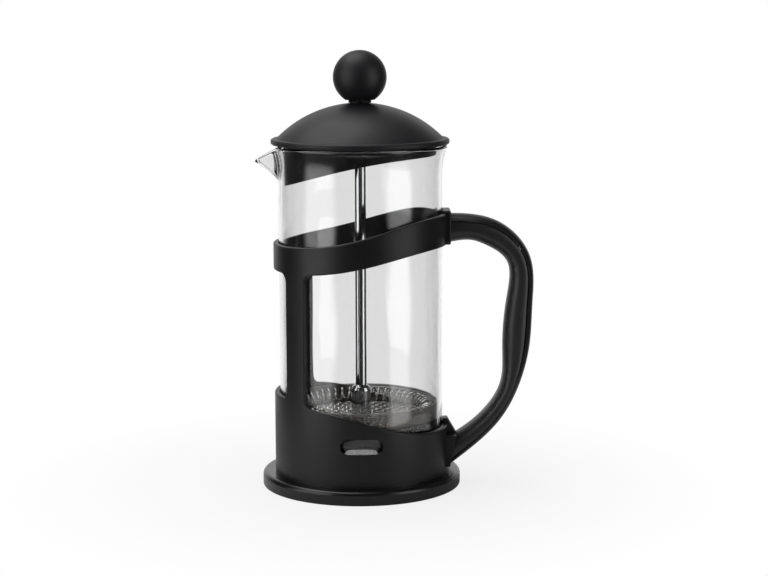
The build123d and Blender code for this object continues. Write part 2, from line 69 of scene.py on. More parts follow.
def linear(code: str) -> tuple[float, float, float, float]:
    """Turns an sRGB hex value into a linear colour by the standard's curve: a straight foot, then a power.

    Args:
        code: Colour written as "#rrggbb".

    Returns:
        Linear red, green and blue, and an alpha of one.
    """
    parts = [int(code[place:place + 2], 16) / 255 for place in (1, 3, 5)]
    flat = [part / 12.92 if part <= 0.04045 else ((part + 0.055) / 1.055) ** 2.4 for part in parts]
    return (flat[0], flat[1], flat[2], 1.0)


def add(tree: bpy.types.NodeTree, kind: str, links: dict[str | int, Any] | None = None,
        **settings: Any) -> bpy.types.Node:
    """Adds one node with its settings, values and links.

    Args:
        tree: Node tree that gets the node.
        kind: Type name of the node.
        links: Input name or number, and the socket that feeds it or the value it takes.
        settings: Properties of the node itself.

    Returns:
        The new node.
    """
    node = tree.nodes.new(kind)
    for name, value in settings.items():
        setattr(node, name, value)
    for key, value in (links or {}).items():
        if isinstance(value, bpy.types.NodeSocket):
            tree.links.new(value, node.inputs[key])
        else:
            node.inputs[key].default_value = value
    return node


def blank_material(name: str) -> tuple[bpy.types.Material, bpy.types.NodeTree]:
    """Makes an empty node material.

    Args:
        name: Name of the material.

    Returns:
        The material and its node tree.
    """
    material = bpy.data.materials.new(name)
    material.use_nodes = True
    material.node_tree.nodes.clear()
    return material, material.node_tree


class Finish(Protocol):
    """A surface finish that can make its own material."""

    @property
    def name(self) -> str:
        """Name of the finish and of its material."""

    def material(self) -> bpy.types.Material:
        """Makes the material of the finish."""


@dataclass(frozen=True)
class MouldedPlastic:
    """Injection-moulded black plastic: an even dark body under a thin, slightly uneven satin skin.

    The tool's spark-eroded texture gives the eye a fine grain that breaks the highlights. The real grain is
    too fine to show, so it is drawn coarser.
    """

    name: str
    colour: str
    pale: str
    roughness: float
    spread: float
    grain_mm: float
    relief: float
    shine: float
    ior: float = 1.49
    grain_octaves: float = 3.0
    grain_depth: float = 0.25
    cloud_mm: float = 22.0
    cloud_octaves: float = 4.0

    def material(self) -> bpy.types.Material:
        """Makes the plastic: fine noise is the grain in bump and tint, and broad noise varies the gloss.

        Returns:
            The new material.
        """
        material, tree = blank_material(self.name)
        place = add(tree, "ShaderNodeTexCoord").outputs["Object"]
        grain = add(tree, "ShaderNodeTexNoise", {
            "Vector": place, "Scale": 1 / (self.grain_mm * MM), "Detail": self.grain_octaves})
        cloud = add(tree, "ShaderNodeTexNoise", {
            "Vector": place, "Scale": 1 / (self.cloud_mm * MM), "Detail": self.cloud_octaves})
        gloss = add(tree, "ShaderNodeMapRange", {
            "Value": cloud.outputs["Fac"], "From Min": NOISE_LOW, "From Max": NOISE_HIGH,
            "To Min": self.roughness - self.spread, "To Max": self.roughness + self.spread})
        tint = add(tree, "ShaderNodeMix", {
            "Factor": grain.outputs["Fac"], "A": linear(self.colour), "B": linear(self.pale)},
            data_type="RGBA")
        bump = add(tree, "ShaderNodeBump", {
            "Height": grain.outputs["Fac"], "Strength": self.relief,
            "Distance": self.grain_depth * self.grain_mm * MM})
        skin = add(tree, "ShaderNodeBsdfPrincipled", {
            "Base Color": tint.outputs["Result"], "Roughness": gloss.outputs["Result"],
            "Normal": bump.outputs["Normal"], "IOR": self.ior, "Specular IOR Level": self.shine})
        add(tree, "ShaderNodeOutputMaterial", {"Surface": skin.outputs["BSDF"]})
        return material


@dataclass(frozen=True)
class BlownGlass:
    """Clear borosilicate blown in a mould: colourless, with soft waves that bend what is seen through it."""

    name: str
    colour: str
    ior: float
    roughness: float
    wave_mm: float
    relief: float
    depth_mm: float = 0.5
    wave_octaves: float = 1.0
    draw: tuple[float, float, float] = (1.0, 1.0, 0.25)

    def material(self) -> bpy.types.Material:
        """Makes the glass: full transmission, and broad noise that is drawn out upwards as a shallow bump.

        Returns:
            The new material.
        """
        material, tree = blank_material(self.name)
        place = add(tree, "ShaderNodeTexCoord").outputs["Object"]
        drawn = add(tree, "ShaderNodeMapping", {"Vector": place, "Scale": self.draw})
        wave = add(tree, "ShaderNodeTexNoise", {
            "Vector": drawn.outputs["Vector"], "Scale": 1 / (self.wave_mm * MM),
            "Detail": self.wave_octaves})
        bump = add(tree, "ShaderNodeBump", {
            "Height": wave.outputs["Fac"], "Strength": self.relief, "Distance": self.depth_mm * MM})
        body = add(tree, "ShaderNodeBsdfPrincipled", {
            "Base Color": linear(self.colour), "Roughness": self.roughness, "IOR": self.ior,
            "Transmission Weight": 1.0, "Normal": bump.outputs["Normal"]})
        add(tree, "ShaderNodeOutputMaterial", {"Surface": body.outputs["BSDF"]})
        return material


class Lay(Enum):
    """Way in which the marks on a metal surface run, as the scale of their pattern along each axis."""

    ALONG_Z = (1.0, 1.0, 0.04)
    ALONG_X = (0.05, 1.0, 1.0)
    EVEN = (1.0, 1.0, 1.0)


@dataclass(frozen=True)
class WorkedMetal:
    """Drawn, stamped or turned metal: a mirror-like body that is broken by fine marks along its lay."""

    name: str
    colour: str
    dull: str
    roughness: float
    spread: float
    mark_mm: float
    relief: float
    lay: Lay
    mark_octaves: float = 3.0
    mark_depth: float = 0.1

    def material(self) -> bpy.types.Material:
        """Makes the metal: noise stretched along the lay drives gloss, tint and a fine bump.

        Returns:
            The new material.
        """
        material, tree = blank_material(self.name)
        place = add(tree, "ShaderNodeTexCoord").outputs["Object"]
        drawn = add(tree, "ShaderNodeMapping", {"Vector": place, "Scale": self.lay.value})
        marks = add(tree, "ShaderNodeTexNoise", {
            "Vector": drawn.outputs["Vector"], "Scale": 1 / (self.mark_mm * MM),
            "Detail": self.mark_octaves})
        gloss = add(tree, "ShaderNodeMapRange", {
            "Value": marks.outputs["Fac"], "From Min": NOISE_LOW, "From Max": NOISE_HIGH,
            "To Min": self.roughness - self.spread, "To Max": self.roughness + self.spread})
        tint = add(tree, "ShaderNodeMix", {
            "Factor": marks.outputs["Fac"], "A": linear(self.dull), "B": linear(self.colour)},
            data_type="RGBA")
        bump = add(tree, "ShaderNodeBump", {
            "Height": marks.outputs["Fac"], "Strength": self.relief,
            "Distance": self.mark_depth * self.mark_mm * MM})
        body = add(tree, "ShaderNodeBsdfPrincipled", {
            "Base Color": tint.outputs["Result"], "Metallic": 1.0, "Roughness": gloss.outputs["Result"],
            "Normal": bump.outputs["Normal"]})
        add(tree, "ShaderNodeOutputMaterial", {"Surface": body.outputs["BSDF"]})
        return material


@dataclass(frozen=True)
class WovenScreen:
    """Plain-woven stainless wire cloth: rows of small glints with dark gaps that let the coil show through.

    The real pitch of about 0.25 mm is too fine to show, so it is drawn coarser.
    """

    name: str
    colour: str
    shade: str
    roughness: float
    pitch_mm: float
    gap: float
    gap_crest: float = 0.65
    wire_crest: float = 0.85
    relief: float = 0.8
    wire_depth: float = 0.3

    def material(self) -> bpy.types.Material:
        """Makes the cloth from its UV map in metres, with a squared sine for each of its two sets of wires.

        The higher of the two is the crest, which sets the tint, the bump and how open the cloth is.

        Returns:
            The new material.
        """
        material, tree = blank_material(self.name)
        place = add(tree, "ShaderNodeTexCoord").outputs["UV"]
        ways = add(tree, "ShaderNodeSeparateXYZ", {"Vector": place})
        wires = []
        for axis in ("X", "Y"):
            phase = add(tree, "ShaderNodeMath", {0: ways.outputs[axis], 1: math.pi / (self.pitch_mm * MM)},
                        operation="MULTIPLY")
            swing = add(tree, "ShaderNodeMath", {0: phase.outputs[0]}, operation="SINE")
            wires.append(add(tree, "ShaderNodeMath", {0: swing.outputs[0], 1: swing.outputs[0]},
                             operation="MULTIPLY").outputs[0])
        crest = add(tree, "ShaderNodeMath", {0: wires[0], 1: wires[1]}, operation="MAXIMUM").outputs[0]
        solid = add(tree, "ShaderNodeMapRange", {
            "Value": crest, "From Min": self.gap_crest, "From Max": self.wire_crest,
            "To Min": self.gap, "To Max": 1.0})
        # The tint falls towards the shade colour as the crest drops: painted shade down between the wires
        tint = add(tree, "ShaderNodeMix", {
            "Factor": crest, "A": linear(self.shade), "B": linear(self.colour)}, data_type="RGBA")
        bump = add(tree, "ShaderNodeBump", {
            "Height": crest, "Strength": self.relief, "Distance": self.wire_depth * self.pitch_mm * MM})
        body = add(tree, "ShaderNodeBsdfPrincipled", {
            "Base Color": tint.outputs["Result"], "Metallic": 1.0, "Roughness": self.roughness,
            "Alpha": solid.outputs["Result"], "Normal": bump.outputs["Normal"]})
        add(tree, "ShaderNodeOutputMaterial", {"Surface": body.outputs["BSDF"]})
        return material


# Polypropylene from a lightly eroded tool: deep black, with broad soft highlights along the band
FRAME_PLASTIC = MouldedPlastic(
    "satin_black_polypropylene", "#121213", "#171718",
    roughness=0.40, spread=0.05, grain_mm=0.5, relief=0.10, shine=0.35)
# Polypropylene of the grip, finely grained, with one long sheen that follows its bends; its base, paler than
# the frame's black, is painted light that lifts the whole grip
HANDLE_PLASTIC = MouldedPlastic(
    "fine_grained_black_polypropylene", "#202021", "#272728",
    roughness=0.42, spread=0.03, grain_mm=0.8, relief=0.03, shine=0.6)
# Polypropylene from a polished tool: a black gloss that draws a bright line along the foot's edge
FOOT_PLASTIC = MouldedPlastic(
    "gloss_black_polypropylene", "#0f0f10", "#131314",
    roughness=0.26, spread=0.04, grain_mm=0.8, relief=0.05, shine=0.45)
# Polypropylene from a coarsely eroded tool: dull black that only glows a little where light falls from above
LID_PLASTIC = MouldedPlastic(
    "matte_black_polypropylene", "#17171a", "#1d1d20",
    roughness=0.48, spread=0.05, grain_mm=0.45, relief=0.25, shine=0.34)
# Nylon with hardly a highlight; its nearly dead black base is partly the nylon's own black and partly
# painted shade in the neck between knob and lid
BUSH_PLASTIC = MouldedPlastic(
    "black_nylon", "#0d0d0e", "#101011",
    roughness=0.55, spread=0.05, grain_mm=0.5, relief=0.05, shine=0.2)
# Borosilicate blown in a mould: no colour, dark edges, and reflections with wavy sides
CLEAR_GLASS = BlownGlass(
    "blown_borosilicate_glass", "#f4f4f4", ior=1.47, roughness=0.0, wave_mm=14.0, relief=0.07)
# Chromed rod: sharp light and dark stripes that run its whole length
ROD_CHROME = WorkedMetal(
    "polished_plated_rod", "#d9dadb", "#b9babc",
    roughness=0.09, spread=0.04, mark_mm=0.5, relief=0.05, lay=Lay.ALONG_Z)
# Stainless sheet as stamped: soft grey, streaked along the way that it was rolled
PLATE_STEEL = WorkedMetal(
    "stamped_stainless_plate", "#c9c8c5", "#9c9b98",
    roughness=0.24, spread=0.07, mark_mm=0.7, relief=0.10, lay=Lay.ALONG_X)
# Bright stainless sheet, pierced: a spark of light on every hole's burr
PIERCED_STEEL = WorkedMetal(
    "pierced_stainless_plate", "#d2d1ce", "#b5b4b1",
    roughness=0.10, spread=0.04, mark_mm=0.7, relief=0.06, lay=Lay.ALONG_X)
# Hard-drawn spring wire: one thin bright line on every turn
SPRING_STEEL = WorkedMetal(
    "drawn_spring_wire", "#f0f0ee", "#dcdcda",
    roughness=0.07, spread=0.04, mark_mm=0.6, relief=0.06, lay=Lay.EVEN)
# Zinc plate on steel: dull grey with a touch of blue
SCREW_STEEL = WorkedMetal(
    "zinc_plated_screw", "#b4b6b8", "#8d8f92",
    roughness=0.32, spread=0.06, mark_mm=0.5, relief=0.10, lay=Lay.EVEN)
# Brass as turned: warm yellow, roughened by the tool
INSERT_BRASS = WorkedMetal(
    "turned_brass", "#c9a44f", "#a9863c",
    roughness=0.28, spread=0.06, mark_mm=0.4, relief=0.15, lay=Lay.EVEN)
# Woven stainless wire: a grey shimmer that the coil and the light behind show through
WIRE_CLOTH = WovenScreen(
    "woven_stainless_cloth", "#8a8683", "#2c2a28", roughness=0.32, pitch_mm=0.8, gap=0.05)


def mesh_from_grid(name: str, grid: np.ndarray, around: bool, closed: bool,
                   spots: np.ndarray | None = None) -> bpy.types.Object:
    """Makes a smooth mesh over a grid of points, merges its doubles and turns its faces outwards.

    Args:
        name: Name of the piece.
        grid: Points in millimetres, as rows by columns by three, or such grids one after the other.
        around: Whether the last row joins the first.
        closed: Whether the last column joins the first.
        spots: Places on the pattern in millimetres for each grid point, as rows by columns by two.

    Returns:
        The new object, with its place in its mesh.
    """
    rows, columns = grid.shape[-3:-1]
    number = np.arange(rows * columns).reshape(rows, columns)
    down = np.roll(number, -1, 0) if around else number[1:]
    here = number if around else number[:-1]
    if closed:
        here_next, down_next = np.roll(here, -1, 1), np.roll(down, -1, 1)
    else:
        here_next, down_next = here[:, 1:], down[:, 1:]
        here, down = here[:, :-1], down[:, :-1]
    starts = np.arange(0, grid.size // 3, rows * columns)[:, None, None, None]
    faces = (starts + np.stack([here, here_next, down_next, down], -1)).reshape(-1, 4)
    mesh = bpy.data.meshes.new(name)
    mesh.from_pydata((grid.reshape(-1, 3) * MM).tolist(), [], faces.tolist())
    if spots is not None:
        layer = mesh.uv_layers.new(name="cloth")
        flat = (spots.reshape(-1, 2) * MM)[faces.reshape(-1)]
        layer.data.foreach_set("uv", flat.reshape(-1).astype(np.float32))
    work = bmesh.new()
    work.from_mesh(mesh)
    bmesh.ops.remove_doubles(work, verts=work.verts, dist=MERGE)
    bmesh.ops.recalc_face_normals(work, faces=work.faces)
    work.to_mesh(mesh)
    work.free()
    mesh.shade_smooth()
    piece = bpy.data.objects.new(name, mesh)
    bpy.context.scene.collection.objects.link(piece)
    return piece


@functools.cache
def made(finish: Finish) -> bpy.types.Material:
    """Returns the material of a finish, made once and shared."""
    return finish.material()


def dress(piece: bpy.types.Object, finish: Finish) -> None:
    """Gives a piece one finish on its only slot."""
    piece.data.materials.clear()
    piece.data.materials.append(made(finish))


def settle(piece: bpy.types.Object, finish: Finish, body: str, node: str | None = None) -> None:
    """Dresses a new piece, seats it on its body and reports it.

    Args:
        piece: New piece.
        finish: Finish of the piece.
        body: CAD body that the piece moves with.
        node: CAD node that the piece stands for, if there is one.
    """
    dress(piece, finish)
    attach(piece, body)
    if node:
        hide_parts(node)
    log.info("built %s with %d faces", piece.name, len(piece.data.polygons))


def dress_nodes(finishes: dict[str, Finish]) -> None:
    """Gives CAD nodes their finishes.

    Args:
        finishes: Finish for each node name.
    """
    for name, finish in finishes.items():
        dress(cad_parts[name], finish)
        log.info("dressed %s in %s", name, finish.name)


def arc(centre: tuple[float, float], radius: float, start: float, end: float, steps: int) -> np.ndarray:
    """Points of a circular arc: centre plus radius times the cosine and sine of evenly spaced angles.

    Args:
        centre: Middle of the arc as distance from the axis and height.
        radius: Radius of the arc.
        start: First angle in degrees.
        end: Last angle in degrees.
        steps: Number of points.

    Returns:
        Points as steps by two.
    """
    angle = np.radians(np.linspace(start, end, steps))
    return np.stack([centre[0] + radius * np.cos(angle), centre[1] + radius * np.sin(angle)], -1)


def lathe(profile: np.ndarray, steps: int) -> np.ndarray:
    """Turns a profile about the Z axis: each point goes round a circle of its own distance from the axis.

    Args:
        profile: Points as distance from the axis and height.
        steps: Number of steps round.

    Returns:
        Grid of steps by profile points by three.
    """
    angle = np.linspace(0, TURN, steps, endpoint=False)[:, None]
    radius, level = profile[:, 0][None], profile[:, 1][None]
    return np.stack([radius * np.cos(angle), radius * np.sin(angle), level + 0 * angle], -1)


def close_ends(tube: np.ndarray) -> np.ndarray:
    """Closes a tube with a row at each end whose points all lie at that end's middle.

    Args:
        tube: Grid of steps by sides by three.

    Returns:
        Grid with two more rows.
    """
    ends = [np.broadcast_to(tube[end].mean(0), tube[:1].shape) for end in (0, -1)]
    return np.concatenate([ends[0], tube, ends[1]])


def smooth_rows(rows: np.ndarray, steps: int) -> np.ndarray:
    """Natural cubic spline through rows of numbers that are spaced by the distance between them.

    The second derivatives at the rows solve the usual equations in three bands. Between two rows each
    number is the cubic that takes both rows and both second derivatives.

    Args:
        rows: Numbers to pass through, one row for each station.
        steps: Number of rows in the result.

    Returns:
        Smooth rows, evenly spaced along the whole run.
    """
    step = np.linalg.norm(np.diff(rows, axis=0), axis=1)
    start = np.concatenate([[0], np.cumsum(step)])
    inner = np.arange(1, len(rows) - 1)
    bands = np.eye(len(rows))
    bands[inner, inner - 1] = step[:-1]
    bands[inner, inner] = 2 * (step[:-1] + step[1:])
    bands[inner, inner + 1] = step[1:]
    change = np.zeros_like(rows)
    change[1:-1] = 6 * np.diff(np.diff(rows, axis=0) / step[:, None], axis=0)
    bend = np.linalg.solve(bands, change)
    place = np.linspace(0, start[-1], steps)
    left = np.clip(np.searchsorted(start, place, side="right") - 1, 0, len(rows) - 2)
    size = step[left][:, None]
    near = (place - start[left])[:, None]
    far = size - near
    curved = (bend[left] * far**3 + bend[left + 1] * near**3) / (6 * size)
    from_left = (rows[left] / size - bend[left] * size / 6) * far
    from_right = (rows[left + 1] / size - bend[left + 1] * size / 6) * near
    return curved + from_left + from_right


class HandlePart(Enum):
    """Side of the handle's seam, as the name of its piece and of the CAD node that the piece stands for."""

    GRIP = ("handle_grip", "handle")
    BACK = ("handle_back", "handle_strip")


@dataclass
class CarryFrame:
    """The plastic frame and its foot as the CAD shapes, with a softly rounded handle in two pieces.

    Each station of the handle gives the place of its back and of its grip, as distance from the axis
    and height, from the upper pad round to the lower one. Sizes are in millimetres.
    """

    stations: tuple[tuple[float, float, float, float], ...] = (
        (38.3, 117.4, 38.3, 105.1),
        (47.0, 117.0, 46.0, 106.0),
        (57.5, 114.5, 53.0, 104.0),
        (72.0, 100.5, 63.0, 96.0),
        (73.9, 79.5, 62.5, 79.5),
        (72.5, 58.5, 61.0, 59.0),
        (68.0, 42.0, 60.0, 43.0),
        (58.5, 25.5, 51.0, 29.5),
        (38.9, 8.2, 39.4, 20.9),
    )
    handle_width: float = 15.0
    # Power of the section: two makes an ellipse, and more makes it squarer
    roundness: float = 2.3
    # Depth of the back piece, its width as a share of the grip's, and the gap between the two
    strip_depth: float = 2.6
    strip_share: float = 0.98
    seam: float = 0.1
    handle_steps: int = 460
    handle_sides: int = 104
    sharp_angle: float = 40.0
    finishes: dict[str, Finish] = field(default_factory=lambda: {
        "frame": FRAME_PLASTIC,
        "foot": FOOT_PLASTIC,
        "foot_screws": SCREW_STEEL,
        "handle_screws": SCREW_STEEL,
    })

    def handle_grid(self, part: HandlePart) -> np.ndarray:
        """Rounded section carried along the handle and cut at the seam under its back.

        The section is a superellipse: the cosine and sine of its angle, each raised to two over the
        roundness, times the half thickness and the half width. What lies past the seam is pressed flat
        onto it. The ends close on their middles.

        Args:
            part: Side of the seam to keep.

        Returns:
            Grid of steps by sides by three.
        """
        lines = smooth_rows(np.array(self.stations), self.handle_steps)
        back, grip = lines[:, :2], lines[:, 2:]
        half = np.linalg.norm(back - grip, axis=1)[:, None] / 2
        angle = np.linspace(0, TURN, self.handle_sides, endpoint=False)
        deep, wide = (np.sign(wave) * np.abs(wave) ** (2 / self.roundness)
                      for wave in (np.cos(angle), np.sin(angle)))
        cut = half - self.strip_depth
        side = self.handle_width / 2 * wide
        if part is HandlePart.BACK:
            out = np.maximum(half * deep, cut + self.seam)
            side = side * self.strip_share
        else:
            out = np.minimum(half * deep, cut)
        outwards = (back - grip) / (2 * half)
        place = ((back + grip) / 2)[:, None] + outwards[:, None] * out[..., None]
        return close_ends(np.stack([place[..., 0], np.broadcast_to(side, out.shape), place[..., 1]], -1))

    def build(self) -> None:
        """Makes the handle's two pieces in place of their CAD nodes and dresses the rest."""
        dress_nodes(self.finishes)
        for part, finish in ((HandlePart.GRIP, HANDLE_PLASTIC), (HandlePart.BACK, FRAME_PLASTIC)):
            name, node = part.value
            piece = mesh_from_grid(name, self.handle_grid(part), around=False, closed=True)
            piece.data.set_sharp_from_angle(angle=math.radians(self.sharp_angle))
            settle(piece, finish, "frame", node)


@dataclass
class Beaker:
    """The blown glass, with a rounded rim, a pulled spout and the soft waves of a mould-blown wall.

    Sizes are in millimetres. Angles are measured from the middle of the spout.
    """

    radius: float = 35.0
    wall: float = 2.0
    floor: float = 3.0
    heel: float = 5.0
    # How far the rim flares out and over what height, and how far below that the finer steps start
    flare: float = 2.6
    flare_height: float = 16.0
    flare_lead: float = 1.0
    # Reach of the spout past the wall, and its depth below the rim
    spout_reach: float = 19.0
    spout_depth: float = 16.2
    # Radii of the spout's tip and root circles, and how far inside the wall the root's middle lies
    tip_radius: float = 2.6
    root_radius: float = 13.0
    root_inset: float = 15.0
    # Fall of the lip for each millimetre outwards
    lip_fall: float = 0.447
    lip_rounds: int = 60
    # Difference in radius within which the spout melts into the wall
    melt: float = 3.0
    # Depth of the waves, and the height over which they fade in at both ends
    wave: float = 0.28
    wave_fade: float = 12.0
    # Count of two sines round the wall, and the rise that turns the first's sway and the second by a radian
    wave_lobes: tuple[int, int] = (6, 9)
    wave_rise: tuple[float, float] = (9.0, 7.0)
    # Sway of the first sine and start of the second, in radians, and the second's share of the first
    wave_drift: float = 1.7
    wave_shift: float = 1.3
    wave_second: float = 0.6
    columns: int = 288
    # How far the columns crowd towards the spout
    crowd: float = 0.495
    heel_steps: int = 10
    heel_in_steps: int = 8
    climb_steps: int = 72
    flare_steps: int = 30
    rim_steps: int = 11

    def spout(self, angle: np.ndarray, drop: np.ndarray) -> np.ndarray:
        """Distance from the axis to the spout's skin.

        At each height the section is the hull of a root circle and a tip circle whose place slides
        in with the drop below the rim. A ray from the axis meets the tip circle, the straight side
        or the root circle, in turn as its angle grows.

        Args:
            angle: Angle from the spout's middle, in radians.
            drop: Depth below the rim as a share of the spout's depth.

        Returns:
            Distance in millimetres, or zero where the ray misses the spout.
        """
        turn = np.abs(angle)
        root = self.radius - self.root_inset
        reach = self.radius + self.spout_reach * (1 - drop) - self.tip_radius * drop
        step = self.root_radius - self.tip_radius
        tip = np.maximum(reach - self.tip_radius, root + step + TINY)
        lean = np.clip(step / (tip - root), -1, 1)
        side = np.sqrt(1 - lean**2)
        tip_turn = np.arctan2(self.tip_radius * side, tip + self.tip_radius * lean)
        root_turn = np.arctan2(self.root_radius * side, root + self.root_radius * lean)
        along, across = np.cos(turn), np.sin(turn)
        on_tip = tip * along + np.sqrt(np.maximum(self.tip_radius**2 - (tip * across) ** 2, 0))
        on_side = (lean * root + self.root_radius) / np.maximum(lean * along + side * across, TINY)
        under = self.root_radius**2 - (root * across) ** 2
        on_root = np.where((under > 0) & (along > 0), root * along + np.sqrt(np.maximum(under, 0)), 0)
        return np.where(turn < tip_turn, on_tip, np.where(turn < root_turn, on_side, on_root))

    def skin(self, angle: np.ndarray, level: np.ndarray, rim: float) -> np.ndarray:
        """Outer radius of the even glass: the flared wall joined to the spout by a soft maximum.

        The flare grows with the cube of the height above its bend. Where the two differ by less than the
        melt, the larger one gains the square of what is left of the melt, over four melts.

        Args:
            angle: Angle from the spout's middle, in radians.
            level: Height in millimetres.
            rim: Height of the rim.

        Returns:
            Distance from the axis in millimetres.
        """
        rise = np.clip(1 - (rim - level) / self.flare_height, 0, 1)
        body = self.radius + self.flare * rise**3
        spout = self.spout(angle, np.clip((rim - level) / self.spout_depth, 0, 1))
        near = np.maximum(self.melt - np.abs(body - spout), 0)
        return np.maximum(body, spout) + near**2 / (4 * self.melt)

    def ripple(self, angle: np.ndarray, level: np.ndarray) -> np.ndarray:
        """Depth of the waves in the whole wall: one sine round it sways with height, and another climbs.

        The depth fades out over a short height at both ends of the wall.

        Args:
            angle: Angle from the spout's middle, in radians.
            level: Heights up the wall in millimetres, as one row for each angle.

        Returns:
            Depth in millimetres, from zero to the wave's full depth.
        """
        sway = self.wave_drift * np.sin(level / self.wave_rise[0])
        climb = self.wave_shift - level / self.wave_rise[1]
        first = np.sin(self.wave_lobes[0] * angle + sway)
        second = self.wave_second * np.sin(self.wave_lobes[1] * angle + climb)
        full = 1 + self.wave_second
        ends = np.minimum(level - level[:, :1], level[:, -1:] - level)
        return self.wave * (full + first + second) / (2 * full) * np.clip(ends / self.wave_fade, 0, 1)

    def lip(self, angle: np.ndarray, rim: float) -> np.ndarray:
        """Height of the lip: it falls with its reach outwards, which depends on the height in turn.

        Going half way to the height that the reach asks for, again and again, settles both.

        Args:
            angle: Angle from the spout's middle, in radians.
            rim: Height of the rim away from the spout.

        Returns:
            Height in millimetres for each angle.
        """
        top = np.full_like(angle, rim)
        for _ in range(self.lip_rounds):
            reach = self.skin(angle, top, rim) * np.cos(angle)
            fall = self.lip_fall * np.maximum(0, reach - self.radius + self.wall)
            top = (top + rim - fall) / 2
        return top

    def grid(self) -> np.ndarray:
        """Runs the glass's section once round: up the outside, over the round rim and down the inside.

        Returns:
            Grid of angles by section points by three.
        """
        low, high = (corner.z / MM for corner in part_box("beaker"))
        angle = np.linspace(-math.pi, math.pi, self.columns, endpoint=False)[:, None]
        angle = angle - self.crowd * np.sin(angle)
        top = self.lip(angle, high)
        half = self.wall / 2
        corner = (self.radius - self.heel, low + self.heel)
        heel = arc(corner, self.heel, -90, 0, self.heel_steps)
        heel_in = arc(corner, self.heel - self.wall, 0, -90, self.heel_in_steps)
        heel_in[:, 1] += self.floor - self.wall
        bend = high - self.flare_height - self.flare_lead
        climb = np.linspace(low + self.heel, bend, self.climb_steps)[1:]
        flow = np.linspace(0, 1, self.flare_steps)[1:]
        wall_level = np.concatenate([climb + 0 * angle, bend + (top - half - bend) * flow], 1)
        wall_out = self.skin(angle, wall_level, high) - self.ripple(angle, wall_level)
        wall_in = wall_out - self.wall
        over = np.radians(np.linspace(0, 180, self.rim_steps))[1:-1]
        rim_radius = wall_out[:, -1:] - half + half * np.cos(over)
        rim_level = top - half + half * np.sin(over)
        axis = np.zeros_like(angle)
        radius = np.concatenate([
            axis, axis + heel[:, 0], wall_out, rim_radius, wall_in[:, ::-1], axis + heel_in[:, 0], axis], 1)
        level = np.concatenate([
            axis + low, axis + heel[:, 1], wall_level, rim_level,
            wall_level[:, ::-1], axis + heel_in[:, 1], axis + low + self.floor], 1)
        return np.stack([-radius * np.cos(angle), -radius * np.sin(angle), level], -1)

    def build(self) -> None:
        """Makes the glass in place of its CAD node."""
        glass = mesh_from_grid("beaker_glass", self.grid(), around=True, closed=False)
        settle(glass, CLEAR_GLASS, "beaker", "beaker")


@dataclass
class Lid:
    """The domed lid with its skirted insert and the guide bush, all as the CAD shapes."""

    finishes: dict[str, Finish] = field(default_factory=lambda: {
        "lid_cap": LID_PLASTIC,
        "lid_insert": LID_PLASTIC,
        "lid_bush": BUSH_PLASTIC,
        "bush_clip": SCREW_STEEL,
    })

    def build(self) -> None:
        """Dresses the lid's nodes."""
        dress_nodes(self.finishes)


